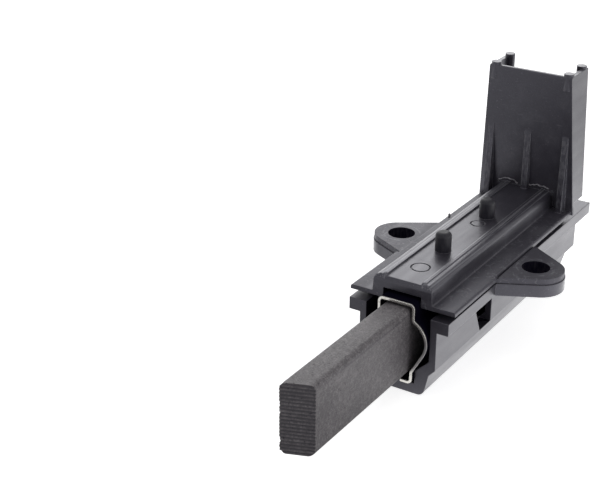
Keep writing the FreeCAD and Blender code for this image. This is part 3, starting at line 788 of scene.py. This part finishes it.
def grooved_tip(bm, look):
    """Cuts the slanted contact face, sinks its level grooves and crumbles its foremost edge."""
    corner, inward = contact_plane(look)
    rim = cut_along(bm, corner, inward, drop_below=True)
    bmesh.ops.edgeloop_fill(bm, edges=rim)
    bmesh.ops.remove_doubles(bm, verts=bm.verts, dist=WELD)
    cut_along(bm, corner + inward * look.ridge_length, inward)
    step = (BLOCK_HIGH.z - BLOCK_LOW.z) / (2 * look.ridges)
    for index in range(1, 2 * look.ridges):
        cut_along(bm, (0, 0, BLOCK_LOW.z + step * index), (0, 0, 1))
    tip = [vertex for vertex in bm.verts if (vertex.co - corner).dot(inward) < FIT]
    for vertex in tip:
        level = (vertex.co.z - BLOCK_LOW.z) / step
        into_groove = 1 - abs(level % 2 - 1)
        vertex.co.y += look.ridge_depth * into_groove / inward.y
        if vertex.co.x < BLOCK_LOW.x + look.crumbled:
            vertex.co.x += look.crumbled * max(0, noise.noise((0, 0, vertex.co.z / look.crumb_size)))


def crease_sharp_edges(bm):
    """Marks the edges that turn too far to be shaded smooth as sharp."""
    for edge in bm.edges:
        edge.smooth = edge.calc_face_angle(0) < SMOOTH_TURN


class CarbonOperator(bpy.types.Operator):
    """Grinds the carbon block, with rounded long edges and a grooved contact face"""

    bl_idname = "motor_brush.grind_carbon"
    bl_label = "Grind Carbon"

    def execute(self, context):
        look = settings().carbon
        bm = bmesh.new()
        rounded_bar(bm, look)
        grooved_tip(bm, look)
        crease_sharp_edges(bm)
        block = new_piece("ground_block", bm, ground_carbon(), body="carbon")
        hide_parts("carbon_block")
        return {"FINISHED"}


# Metal pieces

class GuideOperator(bpy.types.Operator):
    """Gives the folded guide its plating"""

    bl_idname = "motor_brush.dress_guide"
    bl_label = "Dress Guide"

    def execute(self, context):
        cover_with("guide_sleeve", shaded_sooty_plating())
        return {"FINISHED"}


class TerminalOperator(bpy.types.Operator):
    """Gives the blade terminal its plating"""

    bl_idname = "motor_brush.dress_terminal"
    bl_label = "Dress Terminal"

    def execute(self, context):
        plating = bright_metal("terminal_plating", settings().metal.blade, roughness=0.32, up=0.08)
        cover_with("terminal_tab", plating)
        return {"FINISHED"}


def helical_rod(bm, coil_radius, wire_radius, length, turns, steps_per_turn, sides, phase=0.0):
    """A round wire wound about the brush's axis, spun from one ring and closed at both ends."""
    start = Matrix.Translation((0, 0, AXIS_HEIGHT)) @ Matrix.Rotation(phase, 4, "Y")
    ring = bmesh.ops.create_circle(
        bm, segments=sides, radius=wire_radius, matrix=start @ Matrix.Translation((coil_radius, 0, 0)))
    edges = list({edge for vertex in ring["verts"] for edge in vertex.link_edges})
    steps = round(turns * steps_per_turn)
    spun = bmesh.ops.spin(
        bm, geom=ring["verts"] + edges, cent=(0, 0, AXIS_HEIGHT), axis=(0, 1, 0),
        dvec=(0, length / steps, 0), angle=2 * math.pi * turns, steps=steps, use_duplicate=False)
    last = [item for item in spun["geom_last"] if isinstance(item, bmesh.types.BMEdge)]
    bmesh.ops.edgeloop_fill(bm, edges=edges)
    bmesh.ops.edgeloop_fill(bm, edges=last)


def compress_with_block(piece):
    """Gives a piece between the block and the blade a mesh of its own."""
    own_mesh(piece)


class SpringOperator(bpy.types.Operator):
    """Winds the round-wire pressure spring"""

    bl_idname = "motor_brush.wind_spring"
    bl_label = "Wind Spring"

    def execute(self, context):
        size = settings().spring
        bm = bmesh.new()
        helical_rod(
            bm, coil_radius=(SPRING_HIGH.x - SPRING_LOW.x - size.wire) / 2, wire_radius=size.wire / 2,
            length=SPRING_HIGH.y - SPRING_LOW.y - size.wire, turns=size.turns, steps_per_turn=40, sides=10)
        bmesh.ops.translate(bm, verts=bm.verts, vec=(0, SPRING_LOW.y + size.wire / 2, 0))
        steel = bright_metal("spring_steel", settings().metal.steel, roughness=0.28, along=0.1)
        spring = new_piece("coil_spring", bm, steel)
        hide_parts("pressure_spring")
        compress_with_block(spring)
        return {"FINISHED"}


class LeadOperator(bpy.types.Operator):
    """Twists the copper lead from its bundles, pulled straight at the outward stop"""

    bl_idname = "motor_brush.twist_lead"
    bl_label = "Twist Lead"

    def execute(self, context):
        size = settings().lead
        outer_radius = (LEAD_HIGH.x - LEAD_LOW.x) / 2
        spread = math.sin(math.pi / size.strands)
        bundle_radius = outer_radius * spread / (1 + spread)
        length = LEAD_HIGH.y - LEAD_LOW.y
        turns = length / size.twist
        bm = bmesh.new()
        helical_rod(
            bm, coil_radius=0, wire_radius=outer_radius - (2 - size.pressed) * bundle_radius,
            length=length, turns=turns, steps_per_turn=6, sides=10)
        for strand in range(size.strands):
            helical_rod(
                bm, coil_radius=outer_radius - bundle_radius, wire_radius=bundle_radius, length=length,
                turns=turns, steps_per_turn=16, sides=8, phase=2 * math.pi * strand / size.strands)
        bmesh.ops.translate(bm, verts=bm.verts, vec=(0, LEAD_LOW.y, 0))
        copper = bright_metal(
            "lead_copper", settings().metal.copper, roughness=0.34, across=0.4, along=0.1, up=0.4)
        lead = new_piece("twisted_lead", bm, copper)
        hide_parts("shunt_lead")
        compress_with_block(lead)
        return {"FINISHED"}


# Stage

# Half the side of the square floor, and how far it lies below the brush so that the two don't flicker
FLOOR_HALF = 3.0
FLOOR_DROP = 0.02 * MM

# The strongest light that the floor gives
GLOW = 2.0

# The way across the floor to the back right, in X and Y
BACK_RIGHT = (0.54, 0.84)

# What the lamps look at, and the square soft boxes
LIT_POINT = (0, 0, 15 * MM)
SOFTBOXES = {
    "back_softbox": {"direction": (-0.50, 0.76, 0.46), "distance": 0.8, "size": 0.60, "strength": 2.2},
    "right_softbox": {"direction": (0.95, -0.25, 0.35), "distance": 0.7, "size": 0.40, "strength": 1.3},
    "top_softbox": {"direction": (-0.1, -0.2, 1.0), "distance": 0.8, "size": 0.45, "strength": 0.6},
}

# The nearest and the furthest that the camera sees
NEAREST = 0.01
FURTHEST = 20


def paper_white():
    """A white paper floor with a faint shadow, which glows for the camera and in glossy faces."""
    look = settings().stage
    made = Finish("paper_white")
    fibre = made.noise(size=3 * MM, detail=3.0)
    lengthwise = made.axis("Y")
    away = made.axis("X") * BACK_RIGHT[0] + lengthwise * BACK_RIGHT[1]
    behind = (away.between(-38 * MM, -8 * MM) * lengthwise.between(-50 * MM, -22 * MM)
              * (1 - away.between(60 * MM, 130 * MM) * look.far_fade))
    ahead = (-away).between(110 * MM, 170 * MM) * look.far_front_gloss + look.front_gloss
    shown = made.ray("Is Camera Ray") * look.floor_glow
    mirrored = made.ray("Is Glossy Ray") * (behind * look.floor_gloss + ahead)
    return made.finish({
        "Base Color": made.mix(fibre * 0.02, opaque(look.paper), opaque(look.fibre)),
        "Roughness": 0.9,
        "Specular IOR Level": 0.2,
        "Emission Color": made.mix((shown + mirrored) * (1 / GLOW), (0, 0, 0, 1), (1, 1, 1, 1)),
        "Emission Strength": GLOW,
    })


def lamp(name, direction, distance, size, strength):
    """A square soft box that looks at the brush from a direction."""
    data = bpy.data.lights.new(name, "AREA")
    data.shape = "SQUARE"
    data.size = size
    data.energy = strength * math.pi * size * size
    box = bpy.data.objects.new(name, data)
    towards = Vector(direction).normalized()
    box.matrix_world = (Matrix.Translation(Vector(LIT_POINT) + towards * distance)
                        @ towards.to_track_quat("Z", "Y").to_matrix().to_4x4())
    box.visible_camera = False
    bpy.context.scene.collection.objects.link(box)


def white_world():
    """An even surround, full white where the camera sees it."""
    look = settings().stage
    world = bpy.data.worlds.new("white_surround")
    bpy.context.scene.world = world
    made = Shader(world)
    camera = made.ray("Is Camera Ray")
    gloss = made.ray("Is Glossy Ray")
    level = camera + gloss * look.mirrored_surround + (1 - camera.math("MAXIMUM", gloss)) * look.surround
    shade = made.add("ShaderNodeBackground", {}, {"Color": (1, 1, 1, 1), "Strength": level})
    made.node("ShaderNodeOutputWorld", {}, {"Surface": shade})


def paper_floor():
    """The floor, which isn't part of the brush."""
    bm = bmesh.new()
    bmesh.ops.create_grid(bm, x_segments=1, y_segments=1, size=FLOOR_HALF)
    bmesh.ops.translate(bm, verts=bm.verts, vec=(0, 0, -FLOOR_DROP))
    mesh = bpy.data.meshes.new("paper_floor")
    bm.to_mesh(mesh)
    bm.free()
    mesh.materials.append(paper_white())
    floor = bpy.data.objects.new("paper_floor", mesh)
    bpy.context.scene.collection.objects.link(floor)


def camera_rotation(azimuth, elevation, roll):
    """The camera's axes: it looks along -Z, and its X points right."""
    back = Vector((math.sin(azimuth) * math.cos(elevation), -math.cos(azimuth) * math.cos(elevation),
                   math.sin(elevation)))
    level_right = Vector((math.cos(azimuth), math.sin(azimuth), 0))
    level_up = back.cross(level_right)
    right = level_right * math.cos(roll) + level_up * math.sin(roll)
    up = level_up * math.cos(roll) - level_right * math.sin(roll)
    return Matrix((right, up, back)).transposed().to_4x4()


def photo_camera():
    """The photograph's camera."""
    look = settings().stage
    camera = bpy.data.objects.new("camera", bpy.data.cameras.new("camera"))
    camera.data.sensor_width = look.sensor
    camera.data.lens = look.lens
    camera.data.clip_start = NEAREST
    camera.data.clip_end = FURTHEST
    camera.matrix_world = (Matrix.Translation(look.stand)
                           @ camera_rotation(look.azimuth, look.elevation, look.roll))
    bpy.context.scene.collection.objects.link(camera)
    bpy.context.scene.camera = camera


class StageOperator(bpy.types.Operator):
    """Sets the floor, the surround, the soft boxes and the camera of the photograph"""

    bl_idname = "motor_brush.set_stage"
    bl_label = "Set Stage"

    def execute(self, context):
        paper_floor()
        white_world()
        for name, box in SOFTBOXES.items():
            lamp(name, **box)
        photo_camera()
        context.scene.view_settings.view_transform = "Standard"
        return {"FINISHED"}


class BrushPanel(bpy.types.Panel):
    """Lists the steps that dress the motor brush"""

    bl_idname = "VIEW3D_PT_motor_brush"
    bl_label = "Motor Brush"
    bl_space_type = "VIEW_3D"
    bl_region_type = "UI"
    bl_category = "Motor Brush"

    def draw(self, context):
        for step in STEPS:
            self.layout.operator(step.bl_idname)


STEPS = (
    HolderOperator,
    FlashOperator,
    CarbonOperator,
    GuideOperator,
    TerminalOperator,
    SpringOperator,
    LeadOperator,
    StageOperator,
)

GROUPS = (
    HolderLook,
    PlasticWearAndHighlights,
    CarbonLook,
    MetalLook,
    FlashSize,
    SpringSize,
    LeadSize,
    StageLook,
    BrushSettings,
)


def register():
    for group in GROUPS + STEPS + (BrushPanel,):
        bpy.utils.register_class(group)
    bpy.types.Scene.motor_brush = PointerProperty(type=BrushSettings)


def unregister():
    del bpy.types.Scene.motor_brush
    for group in reversed(GROUPS + STEPS + (BrushPanel,)):
        bpy.utils.unregister_class(group)


def main():
    register()
    for step in STEPS:
        family, name = step.bl_idname.split(".")
        getattr(getattr(bpy.ops, family), name)()


if __name__ == "__main__":
    main()
